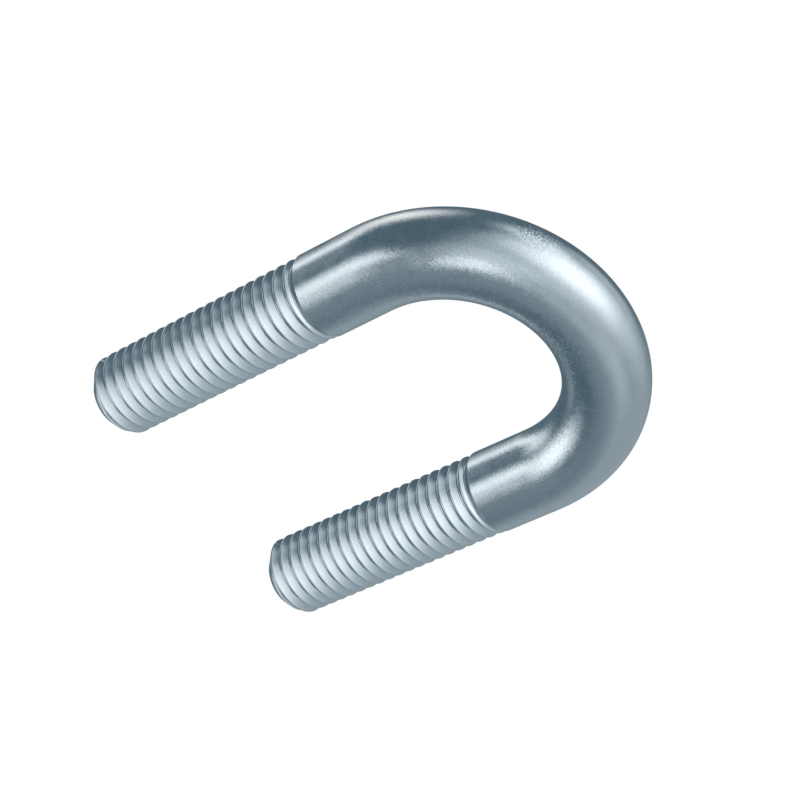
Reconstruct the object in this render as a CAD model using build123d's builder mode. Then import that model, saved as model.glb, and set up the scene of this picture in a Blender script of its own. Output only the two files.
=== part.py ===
"""Pipe U-bolt: one round steel rod bent through a half circle, with a screw thread on each leg.

Millimetres. The origin is the centre of the bend, where the axis of the clamped pipe passes along Z.
The bend's crown is at +X, and the two legs run towards -X. The bolt lies on its side, as it rests.
"""

import os

from build123d import *

os.makedirs("parts", exist_ok=True)

# Rod and bend
rod_d = 10.0
leg_spacing = 33.0
leg_length = 38.5

# Thread: the stretch at the free end of each leg, as a cylinder over the crests
thread_d = 9.85
thread_length = 31.4
shoulder_length = 0.6
end_chamfer = 1.5

rod_r = rod_d / 2
thread_r = thread_d / 2
bend_r = leg_spacing / 2
shoulder_x = thread_length - leg_length
end_r = thread_r - end_chamfer


def threaded_end():
    """Half section of a threaded end, from its free end back to the shoulder, closed along the leg's axis."""
    with BuildLine() as outline:
        Polyline(
            (-leg_length, 0),
            (-leg_length, end_r),
            (-leg_length + end_chamfer, thread_r),
            (shoulder_x - shoulder_length, thread_r),
            (shoulder_x, rod_r),
            (shoulder_x, 0),
            close=True,
        )
    return outline.line


with BuildPart() as u_bolt:
    # The threaded ends, each turned about its own leg's axis
    for side in (-bend_r, bend_r):
        with BuildSketch(Plane(origin=(0, side, 0))):
            add(threaded_end())
            make_face()
        revolve(axis=Axis((0, side, 0), (1, 0, 0)))

    # The plain rod between them: straight, half a turn round the pipe's axis, and straight again
    with BuildLine() as centreline:
        Line((shoulder_x, -bend_r), (0, -bend_r))
        ThreePointArc((0, -bend_r), (bend_r, 0), (0, bend_r))
        Line((0, bend_r), (shoulder_x, bend_r))
    with BuildSketch(Plane(origin=centreline.line @ 0, z_dir=centreline.line % 0)):
        Circle(rod_r)
    sweep(path=centreline.line)

u_bolt.part.label = "u_bolt"
export_step(u_bolt.part, "parts/u_bolt.step")
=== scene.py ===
"""Looks of the pipe U-bolt: the rod with real helical threads, bright zinc, floor, light and camera.

Metres, in the CAD frame: the pipe runs along Z, the bend's crown is at +X, the legs run towards -X,
and the bolt lies on its side.
"""

import math

import bmesh
import bpy
import numpy as np
from mathutils import Matrix, Vector


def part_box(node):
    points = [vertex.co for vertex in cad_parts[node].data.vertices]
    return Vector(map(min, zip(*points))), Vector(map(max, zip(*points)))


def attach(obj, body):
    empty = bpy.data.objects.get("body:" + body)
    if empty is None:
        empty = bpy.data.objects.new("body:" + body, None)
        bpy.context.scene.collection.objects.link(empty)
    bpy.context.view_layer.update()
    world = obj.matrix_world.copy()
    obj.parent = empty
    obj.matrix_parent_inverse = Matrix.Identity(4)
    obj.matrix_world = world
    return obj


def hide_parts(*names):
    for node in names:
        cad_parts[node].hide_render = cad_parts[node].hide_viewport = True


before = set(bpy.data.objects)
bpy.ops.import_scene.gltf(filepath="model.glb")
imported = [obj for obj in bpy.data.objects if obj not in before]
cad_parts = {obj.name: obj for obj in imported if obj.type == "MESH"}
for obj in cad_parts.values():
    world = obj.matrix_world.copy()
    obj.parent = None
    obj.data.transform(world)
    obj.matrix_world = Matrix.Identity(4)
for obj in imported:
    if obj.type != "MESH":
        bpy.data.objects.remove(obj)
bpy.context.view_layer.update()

MM = 0.001

# Rod, from the CAD box
low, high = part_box("u_bolt")
ROD_R = (high.z - low.z) / 2
BEND_R = (high.y - low.y) / 2 - ROD_R
LEG_LENGTH = -low.x

# Threaded ends, as in the part's source
THREAD_R = 4.925 * MM
THREAD_LENGTH = 31.4 * MM
SHOULDER_LENGTH = 0.6 * MM
END_CHAMFER = 1.5 * MM
SHOULDER = LEG_LENGTH - THREAD_LENGTH

# Thread form: M10 x 1.5, right-handed, rolled, so its roots and crests are round. The phase is how far
# a groove's middle is from the bend on each leg's +Y line, less whole turns. Crests are rounded where
# the blank and the groove are nearer to each other than the ease.
PITCH = 1.5 * MM
GROOVE_DEPTH = 0.85 * MM
HALF_ANGLE = math.radians(35)
ROOT_RADIUS = 0.16 * MM
CREST_EASE = 0.08 * MM
GROOVE_PHASE = 0.28 * MM
ROOT_R = THREAD_R - GROOVE_DEPTH

# The shank's end, which falls into the first groove and is rounded at its foot
SHANK_TAPER = math.radians(35)
TAPER_EASE = 0.2 * MM

# Mesh fineness: lines round the rod, rings along the bend, and steps in each half of a rounding
AROUND = 128
BEND_STEPS = 88
ROOT_STEPS = 2
CREST_STEPS = 2
# Steps beside the shank, and on the chamfer as far in as the grooves cut it
SHANK_STEPS = 12
CHAMFER_STEPS = 8
CHAMFER_CUT = END_CHAMFER * 2 / 3
# The widest that a rounding may be, and the nearest that two places on a line may be
WIDEST_EASE = 0.2 * MM
SMALLEST_STEP = 0.02 * MM
SHARP_EDGE = math.radians(32)

# Zinc plating: colours, and how far shade and roughness vary
ZINC_COOL = (0.59, 0.65, 0.685)
ZINC_WARM = (0.605, 0.655, 0.685)
GRAIN_SHADE = 0.06
CLOUD_SHADE = 0.02
ROUGHNESS = 0.22
ROUGHNESS_CHANGE = 0.03

# Its grain, crystals and clouds
GRAIN_SIZE = 0.25 * MM
GRAIN_HEIGHT = 0.004 * MM
CRYSTAL_SIZE = 0.12 * MM
CRYSTAL_TILT = 0.1
CLOUD_SIZE = 1.6 * MM
BLOTCH_SIZE = 6.0 * MM
# The stretch of a noise's values in which most of them lie
GRAIN_VALUES = (0.25, 0.75)
CLOUD_VALUES = (0.3, 0.7)

# How much the colour varies and how much the crystals lean, as shares of the usual: on the crown's
# smooth outer side, and on the rolled threads
SMOOTH_VARIES = 0.15
SMOOTH_LEANS = 0.4
THREAD_VARIES = 0.4
THREAD_LEANS = 0.3
# How much the crystals lean on the straight legs, on the rod's inner and outer side,
# and round the lower leg, which is the one at -Y
STRAIGHT_LEANS = 0.5
INNER_LEANS = 1.35
OUTER_LEANS = 0.5
LOWER_LEG_LEANS = 0.62

# The middle and reach of the smooth spot, and of each rough spot with how much its crystals lean
SMOOTH_SPOT = ((17 * MM, -9 * MM, 3 * MM), 18 * MM)
ROUGH_SPOTS = [
    ((18.4 * MM, 11.2 * MM, -1.0 * MM), 3.4 * MM, 6.5),
    ((12.6 * MM, -0.5 * MM, 3.8 * MM), 5.0 * MM, 2.8),
]

# Studio light: azimuth, elevation, half width, half height and tilt of each softbox in degrees,
# how soft its edge is from 0 to 1, its strength, and its colour if it isn't pure white
WARM_WHITE = (1.0, 0.93, 0.86)
SOFT_WHITE = (1.0, 0.98, 0.96)
AMBIENT = (0.105, 0.165, 0.205)
SOFTBOXES = [
    # The key light beyond the crown, its two wider glows, and a fill light below it
    (-5, -5, 45, 35, 60, 0.7, 0.7, SOFT_WHITE),
    (5, 5, 38, 53, 60, 0.6, 0.45, SOFT_WHITE),
    (0, 5, 100, 55, 50, 0.5, 0.43),
    (21, -39, 23, 23, 0, 0.75, 0.75),
    # Side lights beyond the legs' ends
    (153, 28, 33, 40, 30, 0.9, 1.55, SOFT_WHITE),
    (115, 31, 27, 18, -60, 0.85, 1.2, SOFT_WHITE),
    (140, -17, 21, 33, 30, 1.0, 1.05, SOFT_WHITE),
    (131, -38, 20, 17, 25, 0.85, 1.2, SOFT_WHITE),
    # Overhead
    (85, 83, 75, 42, 55, 0.5, 0.14),
    (-12, 63, 80, 32, 10, 0.6, 0.22),
    (60, 74, 17, 25, -10, 0.9, 1.1, SOFT_WHITE),
    # Bounce from below
    (110, -60, 30, 23, -15, 0.9, 1.25, WARM_WHITE),
    (-30, -55, 33, 15, -30, 1.0, 0.35),
    # The pale wall on the -Y side
    (-82, 6, 63, 92, -40, 0.6, 0.29),
    # Low lights beyond the legs' ends: one for the shank's taper, and one near the horizon
    (-166, -8, 24, 12, 0, 0.7, 0.2),
    (-140, -4, 26, 10, 0, 1.0, 0.38),
]

# Camera: the point that it looks at, its distance and direction from there, and the picture's right side
TARGET = (-8.45 * MM, 0.0, -0.015 * MM)
VIEW_DISTANCE = 251.9 * MM
VIEW_DIRECTION = (0.49038, 0.44515, 0.74924)
PICTURE_RIGHT = (0.79005, -0.58999, -0.16656)
LENS_MM = 99.58
SENSOR_MM = 36.0

FLOOR_SIZE = 6.0


# Rod and threads


def blank_outline():
    """A leg before its thread is cut: distances from the bend, and the radius at each."""
    distance = [0.0, SHOULDER, SHOULDER + SHOULDER_LENGTH, LEG_LENGTH - END_CHAMFER, LEG_LENGTH]
    radius = [ROD_R, ROD_R, THREAD_R, THREAD_R, THREAD_R - END_CHAMFER]
    return np.array(distance), np.array(radius)


def tool_outline():
    """The thread tool's edge: distances along the leg from its rounded tip, and heights over the tip."""
    turn = np.linspace(-1, 1, 2 * ROOT_STEPS + 1) * (math.pi / 2 - HALF_ANGLE)
    offset = ROOT_RADIUS * np.sin(turn)
    height = ROOT_RADIUS * (1 - np.cos(turn))
    rise = 2 * GROOVE_DEPTH
    reach = offset[-1] + rise * math.tan(HALF_ANGLE)
    top = height[-1] + rise
    return np.concatenate([[-reach], offset, [reach]]), np.concatenate([[top], height, [top]])


def crossings(x, gap, ease):
    """Places over the rounded corner of each crossing of two surfaces, from the gap between them."""
    change = np.flatnonzero(gap[:-1] * gap[1:] < 0)
    slope = np.diff(gap)[change] / np.diff(x)[change]
    middle = x[change] - gap[change] / slope
    reach = np.minimum(ease / np.abs(slope), WIDEST_EASE)
    return (middle[:, None] + np.linspace(-1, 1, 2 * CREST_STEPS + 1) * reach[:, None]).ravel()


def eased(gap, ease):
    """How far the corner between two surfaces is rounded where they are this far apart."""
    return np.maximum(ease - np.abs(gap), 0) ** 2 / (4 * ease)


def thinned(places, corners):
    """The places in order with the corners among them, none nearer than the smallest step to the next."""
    clear = places[np.abs(places[:, None] - corners[None, :]).min(axis=1) > SMALLEST_STEP]
    kept = []
    for place in np.union1d(clear, corners):
        if not kept or place - kept[-1] > SMALLEST_STEP:
            kept.append(place)
    return np.array(kept)


def leg_line(angle):
    """One line of a leg's surface from bend to free end: distances along the leg, and radii."""
    blank_x, blank_r = blank_outline()
    tool_x, tool_h = tool_outline()
    # The grooves' middles on this line, with two turns to spare beyond the bend and beyond the free end
    turns = np.arange(-2, LEG_LENGTH / PITCH + 2)
    centres = GROOVE_PHASE + PITCH * (turns - angle / (2 * math.pi))

    def heights(x):
        """Radii of the uncut blank, of the grooves, and of the shank's tapered end."""
        nearest = np.abs(x[:, None] - centres[None, :]).argmin(axis=1)
        grooves = ROOT_R + np.interp(x - centres[nearest], tool_x, tool_h)
        taper = ROD_R - (x - SHOULDER) * math.tan(SHANK_TAPER)
        return np.interp(x, blank_x, blank_r), grooves, taper

    # Places on the blank's corners and over each root, and those where two surfaces cross
    corners = blank_x[1:]
    roots = (centres[:, None] + tool_x[1:-1]).ravel()
    marks = np.unique(np.concatenate([corners, roots, centres + PITCH / 2]))
    marks = marks[(marks >= SHOULDER) & (marks <= LEG_LENGTH)]
    blank, grooves, taper = heights(marks)
    needed = marks[(blank > grooves - CREST_EASE) | np.isin(marks, corners)]
    crests = crossings(marks, blank - grooves, CREST_EASE)
    foot = crossings(marks, grooves - taper, TAPER_EASE)

    beside_shank = np.linspace(SHOULDER, SHOULDER + PITCH, SHANK_STEPS + 1)
    chamfer = LEG_LENGTH - END_CHAMFER
    on_chamfer = np.linspace(chamfer, chamfer + CHAMFER_CUT, CHAMFER_STEPS + 1)
    places = np.concatenate([needed, crests, foot, beside_shank, on_chamfer])
    x = thinned(np.clip(places, SHOULDER, LEG_LENGTH), corners)

    # The lower of blank and grooves, then the higher of that and the taper, with rounded corners
    blank, grooves, taper = heights(x)
    ridges = np.minimum(blank, grooves) - eased(blank - grooves, CREST_EASE)
    cut = np.maximum(ridges, taper) + eased(ridges - taper, TAPER_EASE)
    radius = np.minimum(blank, cut)
    return np.concatenate([[0.0], x]), np.concatenate([[ROD_R], radius])


def zip_lines(first, second, start_first, start_second):
    """Triangles between two neighbouring lines along a leg, always across the shorter diagonal."""
    faces = []
    i = j = 0
    while i < len(first) - 1 or j < len(second) - 1:
        step_first = abs(first[i + 1] - second[j]) if i < len(first) - 1 else math.inf
        step_second = abs(first[i] - second[j + 1]) if j < len(second) - 1 else math.inf
        if step_first < step_second:
            faces.append((start_first + i, start_first + i + 1, start_second + j))
            i += 1
        else:
            faces.append((start_first + i, start_second + j + 1, start_second + j))
            j += 1
    return faces


def add_leg(points, faces, side, angles, lines):
    """Add the leg at +Y or -Y with its flat free end, and return its first ring of points."""
    starts = []
    for angle, (x, radius) in zip(angles, lines):
        starts.append(len(points))
        y = side * BEND_R + radius * math.cos(angle)
        points += zip(-x, y, radius * math.sin(angle))
    for k in range(AROUND):
        n = (k + 1) % AROUND
        faces += zip_lines(lines[k][0], lines[n][0], starts[k], starts[n])
    faces.append([starts[k] + len(lines[k][0]) - 1 for k in range(AROUND)])
    return starts


def add_bend(points, faces, angles, first_ring, last_ring):
    """Add the half circle between the first rings of the two legs."""
    ring = first_ring
    for step in range(1, BEND_STEPS + 1):
        if step < BEND_STEPS:
            bend = math.pi / 2 - math.pi * step / BEND_STEPS
            following = list(range(len(points), len(points) + AROUND))
            for angle in angles:
                out = BEND_R + ROD_R * math.cos(angle)
                points.append((out * math.cos(bend), out * math.sin(bend), ROD_R * math.sin(angle)))
        else:
            # Half a turn of the bend swaps the rod's inner and outer side
            following = [last_ring[(AROUND // 2 - k) % AROUND] for k in range(AROUND)]
        for k in range(AROUND):
            n = (k + 1) % AROUND
            faces.append((ring[k], ring[n], following[n], following[k]))
        ring = following


def rod_mesh():
    """The whole rod as one closed skin: points and faces."""
    points, faces = [], []
    angles = 2 * math.pi * np.arange(AROUND) / AROUND
    lines = [leg_line(angle) for angle in angles]
    first_ring, last_ring = [add_leg(points, faces, side, angles, lines) for side in (1, -1)]
    add_bend(points, faces, angles, first_ring, last_ring)
    return points, faces


def face_outward(mesh):
    """Turn every face's front to the outside."""
    bm = bmesh.new()
    bm.from_mesh(mesh)
    bmesh.ops.recalc_face_normals(bm, faces=bm.faces)
    bm.to_mesh(mesh)
    bm.free()


def make_rod():
    """The rod as an object, smooth apart from its sharp edges."""
    points, faces = rod_mesh()
    mesh = bpy.data.meshes.new("threaded_rod")
    mesh.from_pydata(points, [], faces)
    mesh.validate()
    rod = bpy.data.objects.new("threaded_rod", mesh)
    bpy.context.scene.collection.objects.link(rod)
    face_outward(mesh)
    mesh.shade_smooth()
    mesh.set_sharp_from_angle(angle=SHARP_EDGE)
    flats = rod.modifiers.new("even_flanks", "WEIGHTED_NORMAL")
    flats.keep_sharp = True
    return rod


# Material


class Nodes:
    """Short ways to add and join shader nodes."""

    def __init__(self, tree):
        self.nodes, self.links = tree.nodes, tree.links

    def add(self, kind, inputs=(), **settings):
        """A node of this kind, with its settings, and its inputs as values or joined to other nodes."""
        node = self.nodes.new(kind)
        for name, value in settings.items():
            setattr(node, name, value)
        for name, value in dict(inputs).items():
            if isinstance(value, bpy.types.NodeSocket):
                self.links.new(value, node.inputs[name])
            else:
                node.inputs[name].default_value = value
        return node

    def calculate(self, operation, first, second):
        return self.add("ShaderNodeMath", {0: first, 1: second}, operation=operation).outputs["Value"]

    def times(self, first, second):
        return self.calculate("MULTIPLY", first, second)

    def plus(self, first, second):
        return self.calculate("ADD", first, second)

    def vector(self, operation, *values, **named):
        """A vector operation on these values, as a node."""
        inputs = {**dict(enumerate(values)), **named}
        return self.add("ShaderNodeVectorMath", inputs, operation=operation)

    def noise(self, place, size, detail):
        """Noise from 0 to 1 with features about this many metres across."""
        inputs = {"Vector": place, "Scale": 1 / size, "Detail": detail}
        return self.add("ShaderNodeTexNoise", inputs).outputs["Fac"]

    def spread(self, value, low, high, to_low, to_high):
        """A smooth change from one value to another, as the input goes from low to high."""
        inputs = {"Value": value, "From Min": low, "From Max": high, "To Min": to_low, "To Max": to_high}
        return self.add("ShaderNodeMapRange", inputs, interpolation_type="SMOOTHSTEP").outputs["Result"]

    def near(self, place, middle, reach, at_middle, beyond):
        """One value within half the reach of a point, and another beyond its reach."""
        gap = self.vector("DISTANCE", place, middle).outputs["Value"]
        return self.spread(gap, 0.5 * reach, reach, at_middle, beyond)


def grain_strength(n, place):
    """How much the plating's colour varies, and how much its crystals lean: 1 where both are usual."""
    axes = n.add("ShaderNodeSeparateXYZ", {0: place}).outputs
    # Distance from the pipe's axis round the bend, and from the plane between the legs beyond it
    ahead = n.calculate("MAXIMUM", axes["X"], 0.0)
    out = n.add("ShaderNodeCombineXYZ", {"X": ahead, "Y": axes["Y"]}).outputs["Vector"]
    from_pipe = n.vector("LENGTH", out).outputs["Value"]

    outside = n.spread(from_pipe, BEND_R - 0.1 * ROD_R, BEND_R + 0.3 * ROD_R, 0.0, 1.0)
    middle, reach = SMOOTH_SPOT
    smooth = n.times(outside, n.near(place, middle, reach, 1.0, 0.0))
    first_turn = (-SHOULDER - PITCH, -SHOULDER)
    varying = n.spread(smooth, 0.0, 1.0, 1.0, SMOOTH_VARIES)
    varying = n.times(varying, n.spread(axes["X"], *first_turn, THREAD_VARIES, 1.0))
    leaning = n.spread(smooth, 0.0, 1.0, 1.0, SMOOTH_LEANS)
    leaning = n.times(leaning, n.spread(axes["X"], *first_turn, THREAD_LEANS, 1.0))

    # Strained where the rod was bent, and most of all on the inner side, where it was pressed
    leaning = n.times(leaning, n.spread(axes["X"], -SHOULDER, 0.5 * SHOULDER, STRAIGHT_LEANS, 1.0))
    inner, outer = BEND_R - 0.1 * ROD_R, BEND_R + 0.7 * ROD_R
    leaning = n.times(leaning, n.spread(from_pipe, inner, outer, INNER_LEANS, OUTER_LEANS))
    leaning = n.times(leaning, n.spread(axes["Y"], -0.5 * BEND_R, 0.25 * BEND_R, LOWER_LEG_LEANS, 1.0))
    for middle, reach, most in ROUGH_SPOTS:
        leaning = n.times(leaning, n.near(place, middle, reach, most, 1.0))
    return varying, leaning


def zinc_plating():
    """Bright zinc: bluish, a little cloudy, with fine crystals that sparkle."""
    material = bpy.data.materials.new("bright_zinc")
    material.use_nodes = True
    n = Nodes(material.node_tree)
    shader = n.nodes["Principled BSDF"]
    shader.inputs["Metallic"].default_value = 1.0
    place = n.add("ShaderNodeTexCoord").outputs["Object"]

    grain = n.noise(place, GRAIN_SIZE, detail=1.0)
    clouds = n.noise(place, CLOUD_SIZE, detail=3.0)
    blotches = n.noise(place, BLOTCH_SIZE, detail=2.0)
    varying, leaning = grain_strength(n, place)

    # Colour: two tints in blotches, shaded by clouds and grain
    speckle = n.times(n.spread(grain, *GRAIN_VALUES, -GRAIN_SHADE, GRAIN_SHADE), varying)
    cloud_shade = n.spread(clouds, *CLOUD_VALUES, 1 - CLOUD_SHADE, 1 + CLOUD_SHADE)
    shade = n.times(cloud_shade, n.plus(1.0, speckle))
    tint = n.add("ShaderNodeMix", {"Factor": n.spread(blotches, *CLOUD_VALUES, 0, 1)}, data_type="RGBA")
    # Of the mix node's inputs, 6 and 7 are its two colours, and output 2 is the mixed one
    tint.inputs[6].default_value = (*ZINC_COOL, 1)
    tint.inputs[7].default_value = (*ZINC_WARM, 1)
    colour = n.vector("SCALE", tint.outputs[2], Scale=shade)
    n.links.new(colour.outputs["Vector"], shader.inputs["Base Color"])

    least, most = ROUGHNESS - ROUGHNESS_CHANGE, ROUGHNESS + ROUGHNESS_CHANGE
    n.links.new(n.spread(clouds, *CLOUD_VALUES, least, most), shader.inputs["Roughness"])

    # Relief: the grain as a bump, and on it each crystal with a lean of its own
    height = n.times(leaning, GRAIN_HEIGHT)
    bump = n.add("ShaderNodeBump", {"Strength": 1.0, "Distance": height, "Height": grain})
    crystals = n.add("ShaderNodeTexVoronoi", {"Vector": place, "Scale": 1 / CRYSTAL_SIZE})
    tilt = n.vector("SUBTRACT", crystals.outputs["Color"], (0.5, 0.5, 0.5))
    facets = n.vector("SCALE", tilt.outputs["Vector"], Scale=n.times(leaning, CRYSTAL_TILT))
    slanted = n.vector("ADD", facets.outputs["Vector"], bump.outputs["Normal"])
    normal = n.vector("NORMALIZE", slanted.outputs["Vector"])
    n.links.new(normal.outputs["Vector"], shader.inputs["Normal"])
    return material


# Floor, light and camera


def make_floor():
    """A plain white floor under the bolt, evenly bright, with no shadow and no reflection in the bolt."""
    half = FLOOR_SIZE / 2
    corners = [(x * half, y * half, low.z) for x, y in ((-1, -1), (1, -1), (1, 1), (-1, 1))]
    mesh = bpy.data.meshes.new("floor")
    mesh.from_pydata(corners, [], [(0, 1, 2, 3)])
    floor = bpy.data.objects.new("floor", mesh)
    bpy.context.scene.collection.objects.link(floor)
    material = bpy.data.materials.new("pale_floor")
    material.use_nodes = True
    n = Nodes(material.node_tree)
    n.nodes.clear()
    glow = n.add("ShaderNodeEmission", {"Strength": 1.0})
    n.add("ShaderNodeOutputMaterial", {"Surface": glow.outputs["Emission"]})
    mesh.materials.append(material)
    floor.visible_glossy = False
    floor.visible_shadow = False


def make_camera():
    """The camera at the photograph's angle and roll."""
    data = bpy.data.cameras.new("camera")
    data.lens = LENS_MM
    data.sensor_width = SENSOR_MM
    data.clip_start = 0.01
    data.clip_end = 10.0
    camera = bpy.data.objects.new("camera", data)
    bpy.context.scene.collection.objects.link(camera)
    back = Vector(VIEW_DIRECTION).normalized()
    right = Vector(PICTURE_RIGHT)
    right = (right - back * right.dot(back)).normalized()
    up = back.cross(right)
    place = Matrix.Translation(Vector(TARGET) + back * VIEW_DISTANCE)
    camera.matrix_world = place @ Matrix((right, up, back)).transposed().to_4x4()
    bpy.context.scene.camera = camera


def direction(azimuth, elevation):
    """The unit vector towards a place on the sky; angles in degrees, azimuth from +X towards +Y."""
    azimuth, elevation = math.radians(azimuth), math.radians(elevation)
    level = math.cos(elevation)
    return Vector((level * math.cos(azimuth), level * math.sin(azimuth), math.sin(elevation)))


def softbox(
    n, sky, total, azimuth, elevation, half_width, half_height, tilt, softness, strength, colour=(1, 1, 1)
):
    """Add one large soft light far away to the total, as an ellipse on the sky."""
    middle = direction(azimuth, elevation)
    across = Vector((0, 0, 1)).cross(middle).normalized()
    along = middle.cross(across)
    turn = math.radians(tilt)
    width_axis = across * math.cos(turn) + along * math.sin(turn)
    height_axis = middle.cross(width_axis)
    size_x = 2 * math.sin(math.radians(half_width) / 2)
    size_y = 2 * math.sin(math.radians(half_height) / 2)
    axes = Matrix((width_axis, height_axis, middle)).transposed()

    ellipse = n.add("ShaderNodeMapping", {"Vector": sky}, vector_type="TEXTURE")
    ellipse.inputs["Location"].default_value = middle
    ellipse.inputs["Rotation"].default_value = axes.to_euler()
    ellipse.inputs["Scale"].default_value = (size_x, size_y, (size_x + size_y) / 2)
    from_middle = n.vector("LENGTH", ellipse.outputs["Vector"]).outputs["Value"]
    glow = n.spread(from_middle, 1.0, 1.0 - softness, 0.0, 1.0)
    brightness = [strength * c for c in colour]
    return n.vector("MULTIPLY_ADD", glow, brightness, total).outputs["Vector"]


def light_studio():
    """Soft studio light all round, white where the camera looks past the floor."""
    world = bpy.data.worlds.new("studio")
    bpy.context.scene.world = world
    world.use_nodes = True
    n = Nodes(world.node_tree)
    n.nodes.clear()
    sky = n.add("ShaderNodeTexCoord").outputs["Generated"]
    total = n.add("ShaderNodeCombineXYZ", dict(enumerate(AMBIENT))).outputs["Vector"]
    for box in SOFTBOXES:
        total = softbox(n, sky, total, *box)
    studio = n.add("ShaderNodeBackground", {"Color": total})
    backdrop = n.add("ShaderNodeBackground", {"Color": (1, 1, 1, 1)})
    seen = n.add("ShaderNodeLightPath").outputs["Is Camera Ray"]
    either = n.add("ShaderNodeMixShader", {0: seen, 1: studio.outputs[0], 2: backdrop.outputs[0]})
    n.add("ShaderNodeOutputWorld", {"Surface": either.outputs[0]})


rod = make_rod()
rod.data.materials.append(zinc_plating())
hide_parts("u_bolt")
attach(rod, "root")
# The rod doesn't reflect itself, because the photograph shows no ridge reflected in another
rod.visible_glossy = False
make_floor()
make_camera()
light_studio()
bpy.context.scene.view_settings.view_transform = "Standard"
